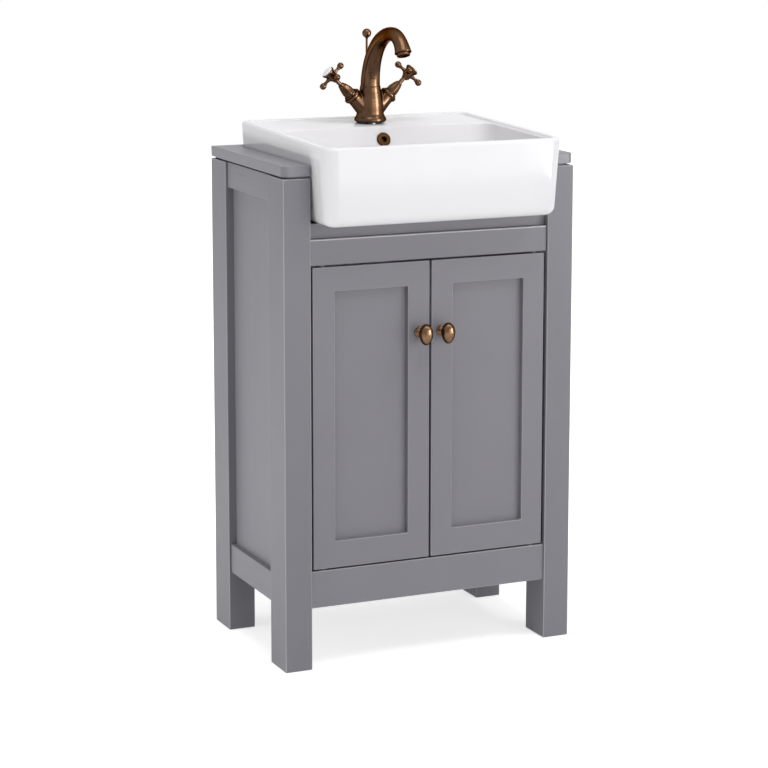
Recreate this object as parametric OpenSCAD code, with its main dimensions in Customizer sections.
// Vanity unit: painted cabinet on four legs, semi-recessed basin, pop-up waste and a two-handle tap.
// X runs to the right, Y to the wall and Z up. The origin is below the middle of the whole unit.

/* [Cabinet] */
// Width over the legs
cabinet_w = 510; // [456:1:600]
// Depth from the front of the legs to the wall
cabinet_d = 325; // [300:1:366]
// Height of the legs
leg_h = 798; // [710:1:880]
// Width of a leg, seen from the front
leg_w = 46; // [40:1:48]
// Depth of a leg, seen from the side
leg_d = 66; // [58:1:72]
// Rounding of the legs' upright edges
leg_edge_r = 1.5; // [0.5:0.5:3]
// How far the front rails and the doors lie behind the legs' front faces
front_setback = 4; // [2:0.5:6]
// How far the side and back rails lie inside the legs' outer faces
side_setback = 4; // [2:0.5:6]
// Thickness of the rails
rail_t = 20; // [19:0.5:24]
// Height of the rails' underside above the floor
rail_underside = 101; // [60:1:110]
// Height of the front and back bottom rails
bottom_rail_h = 61; // [50:1:70]
// Height of the front top rail
top_rail_h = 42; // [38:1:44]
// Height of the side top rails
side_top_rail_h = 42; // [30:1:60]
// Height of the back rails above the bottom one
back_rail_h = 44; // [36:1:56]
// Thickness of the fascia under the basin
fascia_t = 16; // [12:1:18]
// How far the fascia lies behind the face of the front top rail
ledge_d = 10; // [6:1:14]
// Height of the fascia between the front top rail and the basin
fascia_h = 24; // [20:1:52]
// Length of the rails' tenons
tenon_l = 12; // [8:1:14]

/* [Panels] */
// Thickness of the side, back and door panels
panel_t = 6; // [5:0.5:7]
// How far the side panels lie behind the face of the side rails
side_recess = 10; // [6:1:10]
// Depth of the grooves that hold the panels
groove_d = 8; // [5:1:8]
// Thickness of the cabinet floor
floor_t = 12; // [10:1:16]
// Thickness of the shelf
shelf_t = 15; // [12:1:20]
// Height of the shelf's underside above the floor
shelf_z = 400; // [300:1:500]
// Distance from the legs' front faces to the shelf's front edge
shelf_front = 42; // [40:1:60]
// Height of the lower back panel above its rail
back_panel_h = 268; // [180:1:330]

/* [Counter] */
// Thickness of the counter
counter_t = 20; // [16:1:26]
// Height of the shadow gap under the counter's edge
shadow_h = 3; // [2:0.5:5]
// Depth of the shadow gap
shadow_d = 8; // [5:1:10]
// Radius of the counter's front corners
counter_r = 12; // [6:1:20]
// Sealant gap between the counter and the basin
basin_gap = 1; // [0.8:0.1:1.5]

/* [Doors] */
// Gap between the doors
door_gap = 3; // [3:0.1:5]
// Gap between a door and its leg
hinge_gap = 4; // [3:0.1:6]
// Gap above and below the doors
door_gap_z = 2.5; // [2:0.1:4]
// Thickness of the doors
door_t = 20; // [16:0.5:20]
// Width of the stiles of a door
stile_w = 37.5; // [36:0.5:50]
// Height of a door's top rail
door_top_h = 39.5; // [36:0.5:50]
// Height of a door's bottom rail
door_bottom_h = 44; // [36:0.5:60]
// Depth of the door panels behind the face of the frames
door_recess = 10; // [6:0.5:10]
// Distance from a door's hinge edge to its pivot
pivot_inset = 18; // [18:0.5:24]
// Diameter of the pivot pins
pivot_pin_d = 6; // [4:0.5:6]
// Outer diameter of the pivot bushes
bush_d = 9; // [8:0.5:9]

/* [Knobs] */
// Height of an egg-shaped knob
knob_h = 34.5; // [28:0.5:40]
// Diameter of a knob
knob_d = 22.5; // [18:0.5:28]
// Distance from the door to the middle of a knob
knob_reach = 26; // [22:1:32]
// Diameter of a knob's round plate
knob_plate_d = 18; // [14:1:24]
// Distance from a door's free edge to its knob
knob_inset = 18; // [15:0.5:19]
// Distance from a door's top edge to its knob
knob_drop = 116; // [80:1:240]

/* [Basin] */
// How far the basin's rim reaches over the legs at each side
basin_over = 0.5; // [-2:0.1:1]
// Depth of the basin from front to back at its rim
basin_d = 374; // [336:1:412]
// Distance from the basin's back rim to the wall
basin_back_gap = 11; // [8:1:16]
// Height of the rim above the counter, at the back
rim_above = 42; // [34:1:54]
// How much lower the rim is at the front
rim_fall = 10; // [4:1:14]
// Height of the basin from its bottom to its back rim
basin_h = 136; // [126:1:146]
// Slope of the outer walls from upright
wall_slope = 3.5; // [3:0.5:5]
// Corner radius of the basin's front
basin_front_r = 30; // [24:1:45]
// Corner radius of the basin's back
basin_back_r = 16; // [13:1:20]
// Width of the rim at the sides and the front
rim_w = 14; // [12:0.5:20]
// Depth of the tap ledge from the back of the rim to the bowl
ledge_w = 110; // [104:1:120]
// Depth of the tap ledge below the back rim
ledge_drop = 4.5; // [3:0.5:6]
// Thickness of the basin at the tap ledge
ledge_t = 12; // [10:1:16]
// Thickness of the bowl's floor at its walls
bowl_floor_t = 22; // [20:1:26]
// Radius between the bowl's walls and its floor
bowl_r = 34; // [24:1:38]

/* [Tap] */
// Distance from the basin's back rim to the tap's axis
tap_inset = 66; // [60:1:70]
// Diameter of the tap's foot
foot_d = 54; // [48:1:60]
// Height at which the spout leaves the tap's body
spout_base = 60; // [50:1:70]
// Radius of the spout's rising arc
spout_rise_r = 92; // [80:1:110]
// Radius of the spout's falling arc
spout_fall_r = 46; // [36:1:60]
// Angle of the spout's outlet below level
spout_fall = 67; // [50:1:80]
// Radius of the spout where it leaves the body
spout_r = 16.5; // [14:0.5:18]
// Radius of the spout at its highest point
spout_top_r = 11.5; // [11:0.5:13]
// Radius of the spout's lip
lip_r = 14; // [13:0.5:15]
// Angle of the valves above level
valve_angle = 43; // [38:1:50]
// Height at which the valve axes cross the tap's axis
valve_z = 13.6; // [10:0.2:18]
// Length of a valve sleeve along its axis
sleeve_l = 47.5; // [44:0.5:52]
// Distance along the valve axis to the middle of the handle's arms
handle_s = 95; // [92:1:104]
// Radius on which the handle's balls lie
handle_r = 23; // [18:0.5:26]
// Diameter of the handle's balls
handle_ball_d = 10.8; // [8:0.2:13]
// Turn of the right handle as it stands when shut
right_turn = 27; // [0:1:45]
// Diameter of the hole for the tap in the basin
tap_hole_d = 35; // [34:0.5:38]

/* [Waste] */
// Distance from the basin's back rim to the waste's axis
waste_back = 209; // [202:1:219]
// Diameter of the waste's flange
waste_flange_d = 63; // [58:1:66]
// Diameter of the waste's threaded tail
waste_d = 41.9; // [38:0.1:44]
// Length of the waste below the basin
waste_l = 72; // [66:1:90]
// Distance from the waste's axis to the pivot of the lever
lever_in = 26; // [24:0.5:28]
// Depth of the lever's pivot below the basin
lever_drop = 34; // [30:1:40]
// Travel of the lift rod
rod_travel = 35; // [25:1:38]
// Diameter of the lift rod
rod_d = 4; // [3:0.5:5]
// Distance from the tap's axis back to the lift rod
rod_back = 14.5; // [14:0.1:15]
// Height of the ball's middle above the tap ledge
rod_ball_z = 147; // [130:1:160]
// Diameter of the ball on the lift rod
rod_ball_d = 15.4; // [12:0.2:18]

/* [Hidden] */

// Colours of the paint and the materials
paint = [0.53, 0.53, 0.56];
inner_paint = [0.47, 0.47, 0.5];
glaze = [0.95, 0.95, 0.96];
bronze = [0.45, 0.28, 0.17];
steel = [0.72, 0.72, 0.73];
brass = [0.74, 0.6, 0.3];
rubber = [0.12, 0.12, 0.12];

// Smoothness of true curves and of the basin's rounded corners
round_fn = 64;
blend_fn = 32;
// Running clearance of shafts and pins, gap in glued joints and gap between pieces that move
run_gap = 0.05;
joint_gap = 0.1;
move_gap = 0.3;
// Overshoot of a cutter past the face that it cuts
cut = 1;

// Main planes: the unit reaches from the basin's front to the wall
back_y = (basin_d + basin_back_gap) / 2;
front_y = back_y - cabinet_d;
inner_x = cabinet_w / 2 - leg_w;
side_x = cabinet_w / 2 - side_setback;
rail_face_y = front_y + front_setback;
rail_back_y = rail_face_y + rail_t;
back_rail_y = back_y - side_setback - rail_t;
counter_z = leg_h + counter_t;
rim_z = counter_z + rim_above;
basin_z = rim_z - basin_h;
ledge_z = basin_z - fascia_h;
opening_z = rail_underside + bottom_rail_h;
opening_top = ledge_z - top_rail_h;
fascia_y = rail_face_y + ledge_d;
fascia_back_y = fascia_y + fascia_t;
side_bottom_rail_h = bottom_rail_h - floor_t;
side_panel_x = side_x - side_recess - panel_t;

// Shoulders of the tenons, across the rail and up
tenon_side = 4;
tenon_end = 8;
// How far the floor reaches into the front and back rails
floor_rebate = 4;

// Holes in the back top rail for the two wall screws
wall_hole_d = 8;
wall_hole_x = 150;

// Shelf pins
pin_d = 5;
pin_in = 8;
pin_out = 10;
pin_from_edge = 14;
pin_pitch = 32;

// Basin outline: how far the walls have drawn in at a height
function drawn_in(z) = (rim_z - z) * tan(wall_slope);
basin_w = 2 * (inner_x + basin_over);
basin_back_y = back_y - basin_back_gap;
basin_front_y = basin_back_y - basin_d;
basin_edge_r = 7;
basin_foot_r = 10;
basin_foot_w = basin_w - 2 * drawn_in(basin_z);
counter_notch_w = basin_w - 2 * drawn_in(counter_z) + 2 * basin_gap;
counter_notch_y = basin_back_y - drawn_in(counter_z) + basin_gap;
bearer_h = 30;
bearer_seat = 12;
bearer_x = basin_foot_w / 2 - basin_foot_r - bearer_seat;

// Bowl: its floor, its draft at the front and sides and its lean at the back
bowl_z = basin_z + bowl_floor_t;
bowl_fall = 5;
bowl_draft = 8;
bowl_lean = 34;
bowl_corner_r = 28;
bowl_top_z = rim_z + cut;
bowl_back_y = basin_back_y - ledge_w;
bowl_front_y = basin_front_y + rim_w;
deck_z = rim_z - ledge_drop;
deck_under_z = deck_z - ledge_t;
ledge_corner_r = 10;
cavity_w = basin_foot_w - 4 * ledge_t;
cavity_back_y = basin_back_y - drawn_in(basin_z) - ledge_t;
// Lean of the bowl's back wall: the line from the opening's edge that touches the floor's round corner
bowl_reach = bowl_lean + bowl_r;
bowl_rise = bowl_top_z - bowl_z - bowl_r;
back_wall_lean = atan(bowl_reach / bowl_rise) - asin(bowl_r / norm([bowl_reach, bowl_rise]));
function cavity_front_y(z) =
    bowl_back_y - (bowl_top_z - z) * tan(back_wall_lean) + ledge_t / cos(back_wall_lean);

// Overflow ring and its channel in the basin's wall
overflow_drop = 24.5;
overflow_z = deck_z - overflow_drop;
overflow_y = bowl_back_y - (bowl_top_z - overflow_z) * tan(back_wall_lean);
overflow_flange_d = 24;
overflow_flange_t = 2.5;
overflow_tube_d = 18;
overflow_bore_d = 10;
overflow_tube_l = 12;
overflow_channel_d = 9;
overflow_lap = 2;
overflow_channel_y = overflow_y + overflow_tube_l + overflow_channel_d / 2 - overflow_lap;
overflow_channel_z = basin_z + bowl_floor_t / 2 - bowl_fall / 2;
overflow_rib_w = 24;

// Doors
door_h = opening_top - opening_z - 2 * door_gap_z;
door_z = opening_z + door_gap_z;
door_back_y = rail_face_y + door_t;
door_hinge_x = inner_x - hinge_gap;
door_free_x = door_gap / 2;
pivot_x = door_hinge_x - pivot_inset;
pivot_y = rail_face_y + door_t / 2;
pivot_pin_l = 24;
bush_l = 12;
bush_flange_d = 14;
bush_flange_t = door_gap_z - move_gap;
pin_end_gap = 2;
pin_in_bush = bush_l + bush_flange_t - pin_end_gap;
knob_x = door_free_x + knob_inset;
knob_z = door_z + door_h - knob_drop;
knob_plate_t = 4;
knob_stem_d = 8;
knob_stem_root = 1.2;
knob_stem_l = knob_reach - knob_plate_t - knob_d / 4;
egg_points = 24;
egg_bias = 0.16;
knob_screw_d = 4;
knob_screw_head_d = 8;
knob_screw_head_t = 2.5;
knob_screw_in = 7;

// Magnetic catch and strike plates
catch_w = 56;
catch_plate_t = 3;
catch_plate_h = 24;
catch_depth = 18;
catch_h = 16;
catch_lap = 6;
strike_t = 1.5;
strike_w = 16;
strike_h = 13;
catch_y = door_back_y + strike_t + move_gap;
strike_z = opening_top - catch_h + (catch_h - strike_h) / 2 - cut;
strike_x = 16;
magnet_w = 14;
magnet_h = 9;
magnet_in = 1;

// Tap
tap_y = basin_back_y - tap_inset;
waist_in = 3.9;
waist_r = foot_d / 2 - waist_in;
column_out = 0.6;
column_r = spout_r + column_out;
column_top = spout_base - 1;
spout_ring_n = 28;
spout_steps = 26;
spout_sink = 3;
spout_top_z = spout_base + spout_rise_r;
spout_taper = 1.2;
lip_flare = 4;
aerator_r = 9.5;
aerator_depth = 8;
aerator_out = 5;
aerator_lip = 1.5;
aerator_recess = 2;
sleeve_root_r = 17.5;
sleeve_root_s = 6;
sleeve_neck_r = 12.4;
collar_r = 15;
spigot_r = 9;
spigot_l = 11;
bonnet_r = 10.4;
bonnet_top_r = 6.6;
bonnet_l = 26;
bonnet_sides = 8;
bonnet_foot_t = 3;
bonnet_foot_out = 1.4;
gland_l = 5;
gland_in = 1;
spindle_r = 3.5;
spindle_end_gap = 2;
hub_half_l = 11;
hub_start = handle_s - hub_half_l;
hub_r = 8.4;
hub_top_r = 11.4;
hub_end = handle_s + hub_half_l;
arm_root_r = 3.4;
arm_tip_r = 2.2;
arm_ring_r = 3.2;
arm_ring_t = 2.2;
arm_ring_in = 1.4;
arm_in_ball = 3;
index_r = 9.4;
index_gap = 0.4;
index_sink = 1.2;
gasket_t = 1;
gasket_in = 3;
rod_guide_wall = 2.6;
rod_guide_r = rod_d / 2 + rod_guide_wall;
rod_guide_up = 26;
rod_guide_z = spout_base + rod_guide_up;
stud_d = 8;
stud_forward = 12;
stud_in = 18;
stud_l = 48;
inlet_d = 8.9;
inlet_x = 8.5;
inlet_l = 16;
horseshoe_r = 23;
horseshoe_t = 3;
horseshoe_gap = 27;
horseshoe_web = 2.3;
stud_nut_af = 13;
stud_nut_sides = 6;
stud_nut_t = 6.5;

// Waste
waste_y0 = basin_back_y - waste_back;
waste_hole_gap = 1.55;
waste_hole_d = waste_d + 2 * waste_hole_gap;
waste_wall = 4;
waste_bore_d = waste_d - 2 * waste_wall;
waste_flange_t = 4;
waste_flange_bevel = 2;
waste_dish_in = 1;
waste_slot_w = 12;
waste_relief_t = 1.5;
waste_relief_d = 0.8;
waste_seat_z = bowl_z - bowl_fall;
waste_nut_t = 10;
waste_nut_d = 62;
waste_nut_sides = 8;
waste_washer_t = 4;
waste_end_z = basin_z - waste_l;
lever_z = basin_z - lever_drop;
lever_y = waste_y0 + lever_in;
lever_d = 4.5;
lever_ball_d = 12;
lever_band_w = 3;
lever_throat_d = 10;
lever_socket_d = lever_ball_d + 2 * move_gap;
lever_mouth_d = 11;
lever_tail = 9;
lever_tip = 6;
lever_boss_d = 22;
lever_boss_y = lever_y + lever_ball_d / 4;
lever_cap_d = 28;
lever_cap_l = 7;
lever_cap_t = 4;
lever_seat_y = lever_y - lever_ball_d / 3;
waste_tail_l = lever_z - lever_cap_d / 2 - 2 * waste_relief_t - waste_end_z;
rod_y = tap_y + rod_back;
lever_out = rod_y - lever_y;
lever_tilt = asin(rod_travel / 2 / lever_out);
plug_travel = rod_travel * lever_in / lever_out;
plug_r = 19;
plug_stem_d = 9;
plug_boss = 7;
plug_eye_d = 6.2;
rod_end_up = 26;
rod_end_z = lever_z - lever_out * sin(lever_tilt) + rod_end_up;
rod_cone_l = 4;
rod_cone_w = 3;
strap_w = 12;
strap_t = 2;
strap_up = 60;
strap_down = 10;
strap_pitch = 9;
strap_holes = 3;
strap_play = 2.2;
clamp_w = 11;
clamp_h = 12;
clamp_up = 6;

// Profiles of the turned pieces: each point is a step from the piece's radius and from its datum
foot_profile = [[-0.5, 0], [0, 1], [0, 4], [-1, 6.5], [-2.6, 10]];
waist_profile = [[0.3, 13], [0, 16], [-0.8, 25]];
column_profile = [[2.4, -21.5], [0.8, -10], [0, 0]];
sleeve_profile = [[1.2, -18], [0, -11], [0.6, -7]];
collar_profile = [[-1, -5], [0, -4], [0, -1], [-1, 0]];
hub_foot_profile = [[1.2, 0], [1.6, 2]];
hub_profile = [[-1, 5], [0, 8], [0, 13]];
hub_top_profile = [[-1.6, -5], [0, -3], [0, -1], [-0.8, 0]];
index_profile = [[0, 0], [0, 1.4], [-1.2, 2.2], [-4, 2.4]];
stem_profile = [[2.4, 0], [1, 1.6], [-0.4, 4.5], [0.6, 9], [knob_stem_root, knob_stem_l]];
plate_profile = [[0, 0], [0, 1], [-0.6, 1.8], [-1.8, 2.4], [-2, 3.2], [-2.8, knob_plate_t]];
flange_profile = [[0, 0], [0, 1], [-1.4, overflow_flange_t]];
plug_profile = [[-3, -2], [0, 0], [0, 1.2], [-2, 2.8], [-9.5, 3.8]];
function from_datum(profile, r, z) = [for (p = profile) [r + p[0], z + p[1]]];

// A box between two opposite corners
module block(from, to) {
    translate(from)
        cube(to - from);
}

// A flat rectangle about the origin with round corners, true curves
module rounded_rect(w, d, r) {
    square([w - 2 * r, d], center = true);
    square([w, d - 2 * r], center = true);
    for (x = [-1, 1], y = [-1, 1])
        translate([x * (w / 2 - r), y * (d / 2 - r)])
            circle(r, $fn = round_fn);
}

// A turned piece about Z from the [radius, height] points of its profile
module turned(profile, bore = 0) {
    rotate_extrude($fn = round_fn)
        polygon(concat([[bore, profile[0][1]]], profile, [[bore, profile[len(profile) - 1][1]]]));
}

// The left pieces are drawn once and mirrored for the right
module on_side(side) {
    if (side < 0) children();
    else mirror([1, 0, 0]) children();
}

// A straight bore or pin along Y, from one Y to another
module along_y(x, z, from, to, d) {
    translate([x, from, z])
        rotate([-90, 0, 0])
            cylinder(h = to - from, d = d, $fn = round_fn);
}

// A straight bore or pin along X
module along_x(y, z, from, to, d) {
    translate([from, y, z])
        rotate([0, 90, 0])
            cylinder(h = to - from, d = d, $fn = round_fn);
}

// A rail between the front or the back legs, with a tenon at each end
module cross_rail(y, z, t, h, grow = 0) {
    tx = inner_x + tenon_l + grow;
    block([-inner_x, y, z], [inner_x, y + t, z + h]);
    block([-tx, y + tenon_side - grow, z + tenon_end - grow],
        [tx, y + t - tenon_side + grow, z + h - tenon_end + grow]);
}

// A left side rail between the front and the back leg, with a tenon at each end
module side_rail(z, h, grow = 0) {
    from_y = front_y + leg_d;
    to_y = back_y - leg_d;
    block([-side_x, from_y, z], [-side_x + rail_t, to_y, z + h]);
    block([-side_x + tenon_side - grow, from_y - tenon_l - grow, z + tenon_end - grow],
        [-side_x + rail_t - tenon_side + grow, to_y + tenon_l + grow, z + h - tenon_end + grow]);
}

module front_top_rail_blank(grow = 0) cross_rail(rail_face_y, opening_top, rail_t, top_rail_h, grow);
module fascia_blank(grow = 0) cross_rail(fascia_y, ledge_z, fascia_t, basin_z - ledge_z, grow);
module front_bottom_rail_blank(grow = 0)
    cross_rail(rail_face_y, rail_underside, rail_t, bottom_rail_h, grow);
module back_top_rail_blank(grow = 0)
    cross_rail(back_rail_y, basin_z - back_rail_h, rail_t, back_rail_h, grow);
module back_middle_rail_blank(grow = 0)
    cross_rail(back_rail_y, opening_z + back_panel_h, rail_t, back_rail_h, grow);
module back_bottom_rail_blank(grow = 0)
    cross_rail(back_rail_y, rail_underside, rail_t, bottom_rail_h, grow);
module side_top_rail_blank(grow = 0) side_rail(leg_h - side_top_rail_h, side_top_rail_h, grow);
module side_bottom_rail_blank(grow = 0) side_rail(rail_underside, side_bottom_rail_h, grow);

// The left side panel, its edges in the grooves of the legs and rails
module side_panel_blank(grow = 0) {
    block([-side_panel_x - panel_t - grow, front_y + leg_d - groove_d - grow,
            rail_underside + side_bottom_rail_h - groove_d - grow],
        [-side_panel_x + grow, back_y - leg_d + groove_d + grow,
            leg_h - side_top_rail_h + groove_d + grow]);
}

// The lower back panel, its edges in the grooves of the back legs and rails
module back_panel_blank(grow = 0) {
    mid_y = back_rail_y + rail_t / 2;
    block([-inner_x - groove_d - grow, mid_y - panel_t / 2 - grow, opening_z - groove_d - grow],
        [inner_x + groove_d + grow, mid_y + panel_t / 2 + grow,
            opening_z + back_panel_h + groove_d + grow]);
}

// The cabinet floor: it lies on the side rails and in the rebates of the front and back rails
module floor_blank(grow = 0) {
    top = opening_z;
    block([-inner_x + joint_gap - grow, rail_back_y - floor_rebate - grow, top - floor_t - grow],
        [inner_x - joint_gap + grow, back_rail_y + floor_rebate + grow, top + grow]);
    block([-side_panel_x + joint_gap, front_y + leg_d + joint_gap, top - floor_t],
        [side_panel_x - joint_gap, back_y - leg_d - joint_gap, top]);
}

// A left leg: at = -1 in front and 1 at the back
module leg(at) {
    y = at < 0 ? front_y : back_y - leg_d;
    pin_y = at < 0 ? front_y + leg_d - pin_from_edge : back_y - leg_d + pin_from_edge;
    color(paint) difference() {
        translate([-cabinet_w / 2 + leg_w / 2, y + leg_d / 2, 0])
            linear_extrude(leg_h)
                rounded_rect(leg_w, leg_d, leg_edge_r);
        side_top_rail_blank(joint_gap);
        side_bottom_rail_blank(joint_gap);
        side_panel_blank(joint_gap);
        if (at < 0) {
            front_top_rail_blank(joint_gap);
            fascia_blank(joint_gap);
            front_bottom_rail_blank(joint_gap);
        } else {
            back_top_rail_blank(joint_gap);
            back_middle_rail_blank(joint_gap);
            back_bottom_rail_blank(joint_gap);
            back_panel_blank(joint_gap);
        }
        for (k = [-1:1])
            along_x(pin_y, shelf_z - pin_d / 2 + k * pin_pitch,
                -inner_x - pin_in - joint_gap, -inner_x + cut, pin_d + 2 * run_gap);
    }
}

module leg_front_left() on_side(-1) leg(-1);
module leg_front_right() on_side(1) leg(-1);
module leg_back_left() on_side(-1) leg(1);
module leg_back_right() on_side(1) leg(1);

module side_top_rail() color(paint) difference() {
    side_top_rail_blank();
    side_panel_blank(joint_gap);
}

module side_bottom_rail() color(paint) difference() {
    side_bottom_rail_blank();
    side_panel_blank(joint_gap);
}

module side_top_rail_left() on_side(-1) side_top_rail();
module side_top_rail_right() on_side(1) side_top_rail();
module side_bottom_rail_left() on_side(-1) side_bottom_rail();
module side_bottom_rail_right() on_side(1) side_bottom_rail();
module side_panel_left() on_side(-1) color(paint) side_panel_blank();
module side_panel_right() on_side(1) color(paint) side_panel_blank();

// The bores for the door bushes in a rail: up = 1 for the top rail and -1 for the bottom one
module bush_bores(z, up) {
    for (x = [-pivot_x, pivot_x])
        translate([x, pivot_y, up > 0 ? z - cut : z - bush_l])
            cylinder(h = bush_l + cut, d = bush_d + 2 * run_gap, $fn = round_fn);
}

module front_top_rail() color(paint) difference() {
    front_top_rail_blank();
    bush_bores(opening_top, 1);
}

module front_fascia() color(paint) fascia_blank();

module front_bottom_rail() color(paint) difference() {
    front_bottom_rail_blank();
    floor_blank(joint_gap / 2);
    bush_bores(opening_z, -1);
}

module back_top_rail() color(paint) difference() {
    back_top_rail_blank();
    for (x = [-wall_hole_x, wall_hole_x])
        along_y(x, basin_z - back_rail_h / 2, back_rail_y - cut, back_rail_y + rail_t + cut, wall_hole_d);
}

module back_middle_rail() color(paint) difference() {
    back_middle_rail_blank();
    back_panel_blank(joint_gap);
}

module back_bottom_rail() color(paint) difference() {
    back_bottom_rail_blank();
    back_panel_blank(joint_gap);
    floor_blank(joint_gap / 2);
}

module back_panel() color(inner_paint) back_panel_blank();
module cabinet_floor() color(inner_paint) floor_blank();

// Shelf between the legs, with wings that reach to the side panels
module shelf() color(inner_paint) {
    wing_x = side_panel_x - move_gap;
    block([-inner_x + move_gap, front_y + shelf_front, shelf_z],
        [inner_x - move_gap, back_rail_y - move_gap, shelf_z + shelf_t]);
    block([-wing_x, front_y + leg_d + move_gap, shelf_z],
        [wing_x, back_y - leg_d - move_gap, shelf_z + shelf_t]);
}

module shelf_pins() color(steel)
    for (side = [-1, 1], y = [front_y + leg_d - pin_from_edge, back_y - leg_d + pin_from_edge])
        on_side(side)
            along_x(y, shelf_z - pin_d / 2, -inner_x - pin_in, -inner_x + pin_out, pin_d);

// Bearer that carries one side of the basin, screwed to the inside of the legs
module bearer() color(inner_paint)
    block([-inner_x, fascia_back_y, basin_z - bearer_h], [-bearer_x, back_rail_y, basin_z]);

module basin_bearer_left() on_side(-1) bearer();
module basin_bearer_right() on_side(1) bearer();

// Outline of the counter, drawn in by the depth of the shadow gap where that is below it
module counter_outline(inset) {
    w = cabinet_w - 2 * inset;
    front = front_y + inset;
    r = counter_r - inset / 2;
    difference() {
        union() {
            translate([-w / 2, front + r])
                square([w, back_y - front - r]);
            translate([-w / 2 + r, front])
                square([w - 2 * r, r + cut]);
            for (x = [-1, 1])
                translate([x * (w / 2 - r), front + r])
                    circle(r, $fn = round_fn);
        }
        translate([0, (counter_notch_y + basin_front_y) / 2])
            rounded_rect(counter_notch_w, counter_notch_y - basin_front_y, basin_back_r);
    }
}

module counter() color(paint) {
    translate([0, 0, leg_h + shadow_h])
        linear_extrude(counter_t - shadow_h)
            counter_outline(0);
    translate([0, 0, leg_h])
        linear_extrude(shadow_h + joint_gap)
            counter_outline(shadow_d);
}

// Frame of the left door
module door_frame() color(paint) difference() {
    block([-door_hinge_x, rail_face_y, door_z], [-door_free_x, door_back_y, door_z + door_h]);
    block([-door_hinge_x + stile_w, rail_face_y - cut, door_z + door_bottom_h],
        [-door_free_x - stile_w, door_back_y + cut, door_z + door_h - door_top_h]);
    door_panel_blank(joint_gap);
    for (z = [door_z - cut, door_z + door_h - pivot_pin_l])
        translate([-pivot_x, pivot_y, z])
            cylinder(h = pivot_pin_l + cut, d = pivot_pin_d + 2 * run_gap, $fn = round_fn);
    along_y(-knob_x, knob_z, rail_face_y - cut, door_back_y + cut, knob_screw_d + 2 * move_gap);
}

module door_panel_blank(grow = 0) {
    lap = groove_d + grow;
    block([-door_hinge_x + stile_w - lap, rail_face_y + door_recess - grow, door_z + door_bottom_h - lap],
        [-door_free_x - stile_w + lap, rail_face_y + door_recess + panel_t + grow,
            door_z + door_h - door_top_h + lap]);
}

module left_door_frame() on_side(-1) door_frame();
module right_door_frame() on_side(1) door_frame();
module left_door_panel() on_side(-1) color(paint) door_panel_blank();
module right_door_panel() on_side(1) color(paint) door_panel_blank();

// Steel pins pressed into the top and the bottom of the left door
module pivot_pins() color(steel)
    for (z = [door_z - pin_in_bush, door_z + door_h - pivot_pin_l])
        translate([-pivot_x, pivot_y, z])
            cylinder(h = pivot_pin_l + pin_in_bush, d = pivot_pin_d, $fn = round_fn);

module left_pivot_pins() on_side(-1) pivot_pins();
module right_pivot_pins() on_side(1) pivot_pins();

// Flanged bushes in the top and the bottom rail; the door turns on the bottom flanges
module pivot_bush() difference() {
    union() {
        translate([0, 0, -bush_l])
            cylinder(h = bush_l, d = bush_d, $fn = round_fn);
        cylinder(h = bush_flange_t, d = bush_flange_d, $fn = round_fn);
    }
    translate([0, 0, -bush_l - cut])
        cylinder(h = bush_l + bush_flange_t + 2 * cut, d = pivot_pin_d + 2 * run_gap, $fn = round_fn);
}

module pivot_bushes() color(brass)
    for (x = [-pivot_x, pivot_x]) {
        translate([x, pivot_y, opening_z])
            pivot_bush();
        translate([x, pivot_y, opening_top])
            mirror([0, 0, 1])
                pivot_bush();
    }

// Double catch behind the top rail, with two magnets behind the meeting edges of the doors
module magnetic_catch() color(inner_paint) difference() {
    union() {
        block([-catch_w / 2, rail_back_y, opening_top - catch_h],
            [catch_w / 2, rail_back_y + catch_plate_t, opening_top + catch_plate_h]);
        block([-catch_w / 2, catch_y, opening_top - catch_h],
            [catch_w / 2, catch_y + catch_depth, opening_top + catch_lap]);
    }
    block([-catch_w / 2 - cut, rail_back_y - cut, opening_top - catch_h - cut],
        [catch_w / 2 + cut, catch_y, opening_top]);
    for (x = [-strike_x, strike_x])
        block([x - magnet_w / 2, catch_y - cut, strike_z + (strike_h - magnet_h) / 2],
            [x + magnet_w / 2, catch_y + magnet_in, strike_z + (strike_h + magnet_h) / 2]);
}

module strike_plate() color(steel)
    block([-strike_x - strike_w / 2, door_back_y, strike_z],
        [-strike_x + strike_w / 2, door_back_y + strike_t, strike_z + strike_h]);

module left_strike_plate() on_side(-1) strike_plate();
module right_strike_plate() on_side(1) strike_plate();

// Half outline of the egg: broad above, narrow below
function egg(a) = [knob_d / 2 * cos(a) * (1 + egg_bias * sin(a)) / (1 + egg_bias * egg_bias / 2),
    knob_h / 2 * sin(a)];

module knob() color(bronze) {
    stem_y = rail_face_y - knob_plate_t;
    difference() {
        union() {
            translate([-knob_x, rail_face_y - knob_reach, knob_z])
                rotate_extrude($fn = round_fn)
                    polygon(concat([[0, -knob_h / 2]],
                        [for (i = [1:egg_points - 1]) egg(-90 + 180 * i / egg_points)],
                        [[0, knob_h / 2]]));
            translate([-knob_x, stem_y, knob_z])
                rotate([90, 0, 0])
                    turned(from_datum(stem_profile, knob_stem_d / 2, 0));
        }
        along_y(-knob_x, knob_z, stem_y - knob_screw_in - joint_gap, stem_y + cut,
            knob_screw_d + 2 * run_gap);
    }
}

module left_knob() on_side(-1) knob();
module right_knob() on_side(1) knob();

// Round plate behind a knob, domed in two steps
module knob_plate() color(bronze)
    translate([-knob_x, rail_face_y, knob_z])
        rotate([90, 0, 0])
            turned(from_datum(plate_profile, knob_plate_d / 2, 0), knob_screw_d / 2 + move_gap);

module left_knob_plate() on_side(-1) knob_plate();
module right_knob_plate() on_side(1) knob_plate();

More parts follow.
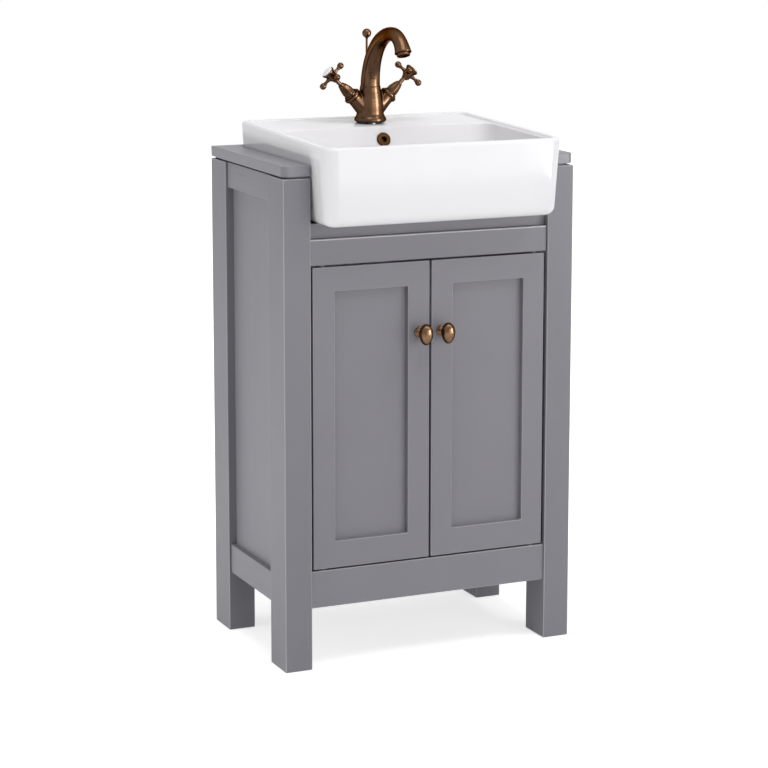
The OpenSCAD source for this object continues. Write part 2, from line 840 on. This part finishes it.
module knob_screw() color(steel) {
    along_y(-knob_x, knob_z, rail_face_y - knob_plate_t - knob_screw_in, door_back_y + joint_gap,
        knob_screw_d);
    along_y(-knob_x, knob_z, door_back_y, door_back_y + knob_screw_head_t, knob_screw_head_d);
}

module left_knob_screw() on_side(-1) knob_screw();
module right_knob_screw() on_side(1) knob_screw();

// A disc with a round edge, for the corners of the basin
module corner_ring(big_r, small_r) {
    rotate_extrude($fn = blend_fn)
        intersection() {
            translate([big_r - small_r, 0])
                circle(small_r, $fn = blend_fn);
            translate([0, -small_r])
                square([big_r, 2 * small_r]);
        }
}

// Outer form of the basin: drawn in downward, lower in front, with round corners and edges
module basin_form() {
    foot_in = drawn_in(basin_z);
    hull() for (x = [-1, 1]) {
        translate([x * (basin_w / 2 - basin_front_r), basin_front_y + basin_front_r,
                rim_z - rim_fall - basin_edge_r])
            corner_ring(basin_front_r, basin_edge_r);
        translate([x * (basin_w / 2 - basin_back_r), basin_back_y - basin_back_r, rim_z - basin_edge_r])
            corner_ring(basin_back_r, basin_edge_r);
        translate([x * (basin_w / 2 - foot_in - basin_front_r), basin_front_y + foot_in + basin_front_r,
                basin_z + basin_foot_r])
            corner_ring(basin_front_r, basin_foot_r);
        translate([x * (basin_w / 2 - foot_in - basin_back_r), basin_back_y - foot_in - basin_back_r,
                basin_z + basin_foot_r])
            corner_ring(basin_back_r, basin_foot_r);
    }
}

// Space of the bowl: its floor falls to the waste
module bowl_space() {
    top_x = basin_w / 2 - rim_w - bowl_corner_r;
    floor_x = basin_w / 2 - rim_w - bowl_draft - bowl_r;
    hull() {
        for (x = [-1, 1], y = [bowl_front_y + bowl_corner_r, bowl_back_y - bowl_corner_r])
            translate([x * top_x, y, bowl_top_z])
                cylinder(h = cut, r = bowl_corner_r, $fn = blend_fn);
        for (x = [-1, 1], y = [bowl_front_y + bowl_draft + bowl_r, bowl_back_y - bowl_lean - bowl_r])
            translate([x * floor_x, y, bowl_z + bowl_r])
                sphere(bowl_r, $fn = blend_fn);
        translate([0, waste_y0, waste_seat_z])
            cylinder(h = cut, d = waste_flange_d + 2 * move_gap, $fn = blend_fn);
    }
}

// The ledge that the tap stands on, level and a little below the rim
module ledge_space() {
    from_y = bowl_back_y - bowl_corner_r;
    to_y = basin_back_y - rim_w;
    translate([0, (from_y + to_y) / 2, deck_z])
        linear_extrude(ledge_drop + cut)
            rounded_rect(basin_w - 2 * rim_w, to_y - from_y, ledge_corner_r);
}

// The space under the tap ledge, open below, where the tap is fixed; a rib holds the overflow channel
module ledge_cavity() {
    low_z = basin_z - cut;
    difference() {
        rotate([90, 0, 90])
            translate([0, 0, -cavity_w / 2])
                linear_extrude(cavity_w)
                    polygon([[cavity_front_y(low_z), low_z], [cavity_back_y, low_z],
                        [cavity_back_y, deck_under_z], [cavity_front_y(deck_under_z), deck_under_z]]);
        block([-overflow_rib_w / 2, 0, low_z],
            [overflow_rib_w / 2, overflow_channel_y + overflow_rib_w / 2, deck_under_z]);
    }
}

// Runs its children at the overflow ring: Z points out of the bowl's back wall
module at_overflow() {
    translate([0, overflow_y, overflow_z])
        rotate([90 - back_wall_lean, 0, 0])
            children();
}

module overflow_bores() {
    at_overflow()
        translate([0, 0, -overflow_tube_l - cut])
            cylinder(h = overflow_tube_l + 2 * cut, d = overflow_tube_d + 2 * joint_gap, $fn = round_fn);
    translate([0, overflow_channel_y, overflow_channel_z])
        cylinder(h = overflow_z - overflow_channel_z + cut, d = overflow_channel_d, $fn = round_fn);
    along_y(0, overflow_channel_z, waste_y0, overflow_channel_y, overflow_channel_d);
}

module basin() color(glaze) difference() {
    basin_form();
    bowl_space();
    ledge_space();
    ledge_cavity();
    overflow_bores();
    translate([0, waste_y0, basin_z - cut])
        cylinder(h = bowl_floor_t + 2 * cut, d = waste_hole_d, $fn = round_fn);
    translate([0, tap_y, deck_under_z - cut])
        cylinder(h = ledge_t + 2 * cut, d = tap_hole_d, $fn = round_fn);
}

// The ring stands a joint's gap off the wall, on its sealant
module overflow_ring() color(bronze) at_overflow() translate([0, 0, joint_gap]) difference() {
    union() {
        translate([0, 0, -overflow_tube_l])
            cylinder(h = overflow_tube_l + joint_gap, d = overflow_tube_d, $fn = round_fn);
        turned(from_datum(flange_profile, overflow_flange_d / 2, 0));
    }
    translate([0, 0, -overflow_tube_l - cut])
        cylinder(h = overflow_tube_l + overflow_flange_t + 2 * cut, d = overflow_bore_d, $fn = round_fn);
}

// Waste: flange in the bowl, threaded tail, overflow slots and the boss for the lever
module waste_body() color(brass) {
    seat_r = waste_bore_d / 2;
    tail_top_z = waste_end_z + waste_tail_l;
    difference() {
        translate([0, waste_y0, 0])
            union() {
                translate([0, 0, waste_end_z])
                    cylinder(h = waste_seat_z - waste_end_z + joint_gap, d = waste_d, $fn = round_fn);
                translate([0, 0, waste_seat_z])
                    cylinder(h = waste_flange_t, d1 = waste_flange_d,
                        d2 = waste_flange_d - 2 * waste_flange_bevel, $fn = round_fn);
                translate([0, 0, lever_z])
                    rotate([-90, 0, 0])
                        cylinder(h = lever_boss_y - waste_y0, d = lever_boss_d, $fn = round_fn);
            }
        translate([0, waste_y0, waste_end_z - cut])
            cylinder(h = waste_seat_z + waste_flange_t - waste_end_z + 2 * cut, r = seat_r,
                $fn = round_fn);
        translate([0, waste_y0, waste_seat_z + waste_dish_in])
            cylinder(h = waste_flange_t, r1 = seat_r, r2 = seat_r + waste_flange_t, $fn = round_fn);
        along_y(0, lever_z, waste_y0, lever_y, lever_throat_d);
        along_y(0, lever_z, lever_seat_y, lever_boss_y + cut, lever_socket_d);
        for (side = [-1, 1])
            block([side * waste_d / 2 - waste_slot_w / 2, waste_y0 - waste_slot_w / 2,
                    overflow_channel_z - overflow_channel_d / 2],
                [side * waste_d / 2 + waste_slot_w / 2, waste_y0 + waste_slot_w / 2,
                    overflow_channel_z + overflow_channel_d / 2]);
        translate([0, waste_y0, tail_top_z])
            difference() {
                cylinder(h = waste_relief_t, d = waste_d + cut, $fn = round_fn);
                cylinder(h = waste_relief_t, d = waste_d - 2 * waste_relief_d, $fn = round_fn);
            }
    }
}

// Rubber washer and lock nut that draw the waste up against the basin
module waste_washer() color(rubber)
    translate([0, waste_y0, basin_z - waste_washer_t])
        difference() {
            cylinder(h = waste_washer_t, d = waste_nut_d, $fn = round_fn);
            translate([0, 0, -cut])
                cylinder(h = waste_washer_t + 2 * cut, d = waste_d + 2 * joint_gap, $fn = round_fn);
        }

module waste_nut() color(brass)
    translate([0, waste_y0, basin_z - waste_washer_t - waste_nut_t])
        difference() {
            cylinder(h = waste_nut_t, d = waste_nut_d, $fn = waste_nut_sides);
            translate([0, 0, -cut])
                cylinder(h = waste_nut_t + 2 * cut, d = waste_d + 2 * joint_gap, $fn = round_fn);
        }

// Plug, drawn open: a domed head, a stem and an eye for the lever's tip
module waste_plug() color(bronze) {
    head_z = waste_seat_z + waste_flange_t + plug_travel + move_gap;
    eye_z = lever_z + lever_in * sin(lever_tilt);
    difference() {
        translate([0, waste_y0, 0])
            union() {
                turned(from_datum(plug_profile, plug_r, head_z));
                translate([0, 0, eye_z - plug_boss])
                    cylinder(h = head_z - eye_z + plug_boss, d = plug_stem_d, $fn = round_fn);
            }
        along_y(0, eye_z, waste_y0 - plug_stem_d, waste_y0 + plug_stem_d, plug_eye_d);
    }
}

// Lever, drawn with the plug open: it turns about the round band of its ball
module pivot_lever() color(steel)
    translate([0, lever_y, lever_z])
        rotate([-lever_tilt, 0, 0]) {
            sphere(d = lever_ball_d, $fn = round_fn);
            along_x(0, 0, -lever_band_w / 2, lever_band_w / 2, lever_ball_d);
            along_y(0, 0, -lever_in - lever_tip, lever_out + lever_tail, lever_d);
        }

// Nut that keeps the lever's ball in the boss
module lever_cap() color(brass) {
    from = lever_boss_y - lever_cap_l;
    difference() {
        along_y(0, lever_z, from, lever_boss_y + lever_cap_t, lever_cap_d);
        along_y(0, lever_z, from - cut, lever_boss_y, lever_boss_d + 2 * joint_gap);
        along_y(0, lever_z, lever_boss_y - cut, lever_boss_y + lever_cap_t + cut, lever_mouth_d);
    }
}

// Lift rod with its ball; it drops into the strap behind the waste
module lift_rod() color(bronze)
    translate([0, rod_y, 0]) {
        translate([0, 0, deck_z + rod_ball_z])
            sphere(d = rod_ball_d, $fn = round_fn);
        translate([0, 0, deck_z + rod_ball_z - rod_ball_d / 2 - rod_cone_l / 2])
            cylinder(h = rod_cone_l, d1 = rod_d, d2 = rod_d + rod_cone_w, $fn = round_fn);
        translate([0, 0, rod_end_z])
            cylinder(h = deck_z + rod_ball_z - rod_end_z, d = rod_d, $fn = round_fn);
    }

// Strap clamped to the rod: its slot takes the lever's end
module clevis_strap() color(steel) {
    low_z = lever_z - lever_out * sin(lever_tilt);
    clamp_z = rod_end_z + clamp_up;
    strap_y = rod_y + rod_d / 2 + joint_gap;
    difference() {
        union() {
            block([-strap_w / 2, strap_y, low_z - strap_down],
                [strap_w / 2, strap_y + strap_t, low_z + strap_up]);
            block([-clamp_w / 2, rod_y - clamp_w / 2, clamp_z],
                [clamp_w / 2, strap_y + joint_gap, clamp_z + clamp_h]);
        }
        translate([0, rod_y, clamp_z - cut])
            cylinder(h = clamp_h + 2 * cut, d = rod_d + 2 * run_gap, $fn = round_fn);
        along_y(0, low_z, strap_y - cut, strap_y + strap_t + cut, lever_d + strap_play);
        for (k = [1:strap_holes])
            along_y(0, low_z + k * strap_pitch, strap_y - cut, strap_y + strap_t + cut, lever_d);
    }
}

// Spout: centre line of two arcs, with a radius that shrinks to the top and opens to the lip
function spout_turn(t) = t * (90 + spout_fall);
function spout_at(a) = a <= 90
    ? [0, -spout_rise_r * (1 - cos(a)), spout_base + spout_rise_r * sin(a)]
    : [0, -spout_rise_r - spout_fall_r * sin(a - 90),
        spout_top_z - spout_fall_r * (1 - cos(a - 90))];
function spout_radius(a) = a <= 90
    ? spout_top_r + (spout_r - spout_top_r) * pow(1 - a / 90, spout_taper)
    : spout_top_r + (lip_r - spout_top_r) * pow((a - 90) / spout_fall, lip_flare);
function spout_ring(c, r, a) = [for (k = [0:spout_ring_n - 1]) let (w = 360 * k / spout_ring_n)
    c + r * [cos(w), sin(w) * cos(a), sin(w) * sin(a)]];

module spout() {
    angles = [for (i = [0:spout_steps]) spout_turn(i / spout_steps)];
    rings = concat([spout_ring([0, 0, spout_base - spout_sink], spout_r, 0)],
        [for (a = angles) spout_ring(spout_at(a), spout_radius(a), a)]);
    n = spout_ring_n;
    last = len(rings) - 1;
    polyhedron(
        points = [for (ring = rings) for (p = ring) p],
        faces = concat([[for (k = [0:n - 1]) k]],
            [for (i = [0:last - 1], k = [0:n - 1], half = [0, 1]) let (j = (k + 1) % n)
                half == 0 ? [i * n + k, (i + 1) * n + k, (i + 1) * n + j]
                    : [i * n + k, (i + 1) * n + j, i * n + j]],
            [[for (k = [0:n - 1]) last * n + n - 1 - k]]));
}

// Runs its children at the tap: Z = 0 is the ledge
module at_tap() {
    translate([0, tap_y, deck_z])
        children();
}

// Runs its children at the left valve: Z points out along the valve's axis
module at_valve() {
    translate([0, 0, valve_z])
        rotate([0, valve_angle - 90, 0])
            children();
}

// Runs its children at the spout's outlet: Z points the way the water leaves
module at_outlet() {
    translate(spout_at(90 + spout_fall))
        rotate([90 + spout_fall, 0, 0])
            children();
}

// Foot, waist and column of the tap's body
module tap_column() {
    turned(concat(from_datum(foot_profile, foot_d / 2, gasket_t),
        from_datum(waist_profile, waist_r, gasket_t),
        from_datum(column_profile, column_r, column_top)));
}

// Sleeve that carries the left valve, with its collar
module valve_sleeve() {
    turned(concat([[sleeve_root_r, sleeve_root_s]],
        from_datum(sleeve_profile, sleeve_neck_r, sleeve_l),
        from_datum(collar_profile, collar_r, sleeve_l)));
}

// Tap body: column, two valve sleeves, guide of the lift rod and spout
module tap_body() color(bronze) at_tap() difference() {
    union() {
        tap_column();
        spout();
        for (side = [-1, 1])
            on_side(side)
                at_valve()
                    valve_sleeve();
        translate([0, rod_back, gasket_t])
            cylinder(h = rod_guide_z - gasket_t, r = rod_guide_r, $fn = round_fn);
    }
    at_outlet()
        translate([0, 0, -aerator_depth])
            cylinder(h = aerator_depth + cut, r = aerator_r + joint_gap, $fn = round_fn);
    for (side = [-1, 1]) {
        on_side(side)
            at_valve()
                translate([0, 0, sleeve_l - spigot_l - joint_gap])
                    cylinder(h = spigot_l + cut, r = spigot_r + joint_gap, $fn = round_fn);
        translate([side * inlet_x, 0, gasket_t - cut])
            cylinder(h = inlet_l + cut, d = inlet_d, $fn = round_fn);
    }
    translate([0, rod_back, gasket_t - cut])
        cylinder(h = rod_guide_z + 2 * cut, d = rod_d + 2 * run_gap, $fn = round_fn);
    translate([0, -stud_forward, gasket_t - cut])
        cylinder(h = stud_in + cut, d = stud_d + 2 * joint_gap, $fn = round_fn);
}

// Aerator in the spout's outlet, hollow below
module aerator() color(brass) at_tap() at_outlet() difference() {
    union() {
        translate([0, 0, -aerator_depth + joint_gap])
            cylinder(h = aerator_depth, r = aerator_r, $fn = round_fn);
        translate([0, 0, joint_gap])
            cylinder(h = aerator_out, r = aerator_r + aerator_lip, $fn = round_fn);
    }
    translate([0, 0, aerator_out - aerator_recess])
        cylinder(h = aerator_recess + cut, r = aerator_r - aerator_lip, $fn = round_fn);
}

module tap_gasket() color(rubber) at_tap() difference() {
    cylinder(h = gasket_t, d = foot_d - 2 * gasket_in, $fn = round_fn);
    translate([0, 0, -cut])
        cylinder(h = gasket_t + 2 * cut, d = tap_hole_d, $fn = round_fn);
}

// Horseshoe that leaves room for the hoses and the lift rod
module horseshoe() {
    hole_r = stud_d / 2 + 2 * joint_gap;
    linear_extrude(horseshoe_t)
        difference() {
            circle(horseshoe_r, $fn = round_fn);
            translate([-horseshoe_gap / 2, -stud_forward + hole_r + horseshoe_web])
                square([horseshoe_gap, 2 * horseshoe_r]);
            translate([0, -stud_forward])
                circle(hole_r, $fn = round_fn);
        }
}

// Steel stud, horseshoe and nut under the tap ledge
module tap_fixing() color(steel) at_tap() {
    low = -ledge_t - 2 * horseshoe_t;
    translate([0, -stud_forward, gasket_t + stud_in - stud_l - joint_gap])
        cylinder(h = stud_l, d = stud_d, $fn = round_fn);
    translate([0, 0, low])
        horseshoe();
    translate([0, -stud_forward, low - stud_nut_t])
        difference() {
            cylinder(h = stud_nut_t, d = stud_nut_af / cos(180 / stud_nut_sides), $fn = stud_nut_sides);
            translate([0, 0, -cut])
                cylinder(h = stud_nut_t + 2 * cut, d = stud_d + 2 * joint_gap, $fn = round_fn);
        }
}

module tap_washer() color(rubber) at_tap()
    translate([0, 0, -ledge_t - horseshoe_t])
        horseshoe();

// Valve bonnet: spigot in the sleeve, eight-sided barrel and gland
module bonnet() color(bronze) at_tap() at_valve() difference() {
    union() {
        translate([0, 0, sleeve_l - spigot_l])
            cylinder(h = spigot_l + cut, r = spigot_r, $fn = round_fn);
        translate([0, 0, sleeve_l])
            cylinder(h = bonnet_foot_t, r = bonnet_r + bonnet_foot_out, $fn = round_fn);
        translate([0, 0, sleeve_l + bonnet_foot_t - cut])
            cylinder(h = bonnet_l - gland_l - cut, r1 = bonnet_r, r2 = bonnet_top_r, $fn = bonnet_sides);
        translate([0, 0, sleeve_l + bonnet_l - gland_l])
            cylinder(h = gland_l, r = bonnet_top_r - gland_in, $fn = round_fn);
    }
    translate([0, 0, sleeve_l - spigot_l - cut])
        cylinder(h = spigot_l + bonnet_l + 2 * cut, r = spindle_r + run_gap, $fn = round_fn);
}

module left_bonnet() on_side(-1) bonnet();
module right_bonnet() on_side(1) bonnet();

// Hub of a handle, turned, with a seat for its disc
module handle_hub() {
    seat_r = index_r + index_gap;
    turned(concat(from_datum(hub_foot_profile, spindle_r, hub_start),
        from_datum(hub_profile, hub_r, hub_start),
        from_datum(hub_top_profile, hub_top_r, hub_end),
        [[seat_r, hub_end], [seat_r, hub_end - index_sink]]));
}

// Arm of a handle along Z: a taper, a ring and a ball
module handle_arm() {
    ball_foot = handle_r - handle_ball_d / 2;
    cylinder(h = handle_r - arm_in_ball, r1 = arm_root_r, r2 = arm_tip_r, $fn = round_fn);
    translate([0, 0, ball_foot - arm_ring_in])
        cylinder(h = arm_ring_t, r = arm_ring_r, $fn = round_fn);
    translate([0, 0, handle_r])
        sphere(d = handle_ball_d, $fn = round_fn);
}

// Cross handle on its spindle
module cross_handle(turn) color(bronze) at_tap() at_valve() {
    spindle_start = sleeve_l - spigot_l + spindle_end_gap;
    translate([0, 0, spindle_start])
        cylinder(h = hub_start - spindle_start + cut, r = spindle_r, $fn = round_fn);
    handle_hub();
    for (k = [0:3])
        translate([0, 0, handle_s])
            rotate([0, 90, turn + 90 * k])
                handle_arm();
}

module left_handle() on_side(-1) cross_handle(0);
module right_handle() on_side(1) cross_handle(right_turn);

// White disc in the hub of a handle
module index_disc() color(glaze) at_tap() at_valve()
    turned(from_datum(index_profile, index_r, hub_end - index_sink));

module left_index() on_side(-1) index_disc();
module right_index() on_side(1) index_disc();

leg_front_left();
leg_front_right();
leg_back_left();
leg_back_right();
side_top_rail_left();
side_top_rail_right();
side_bottom_rail_left();
side_bottom_rail_right();
side_panel_left();
side_panel_right();
front_top_rail();
front_fascia();
front_bottom_rail();
back_top_rail();
back_middle_rail();
back_bottom_rail();
back_panel();
cabinet_floor();
shelf();
shelf_pins();
basin_bearer_left();
basin_bearer_right();
counter();
left_door_frame();
right_door_frame();
left_door_panel();
right_door_panel();
left_pivot_pins();
right_pivot_pins();
pivot_bushes();
magnetic_catch();
left_strike_plate();
right_strike_plate();
left_knob();
right_knob();
left_knob_plate();
right_knob_plate();
left_knob_screw();
right_knob_screw();
basin();
overflow_ring();
waste_body();
waste_washer();
waste_nut();
waste_plug();
pivot_lever();
lever_cap();
tap_body();
aerator();
tap_gasket();
tap_fixing();
tap_washer();
left_bonnet();
right_bonnet();
left_handle();
right_handle();
left_index();
right_index();
lift_rod();
clevis_strap();
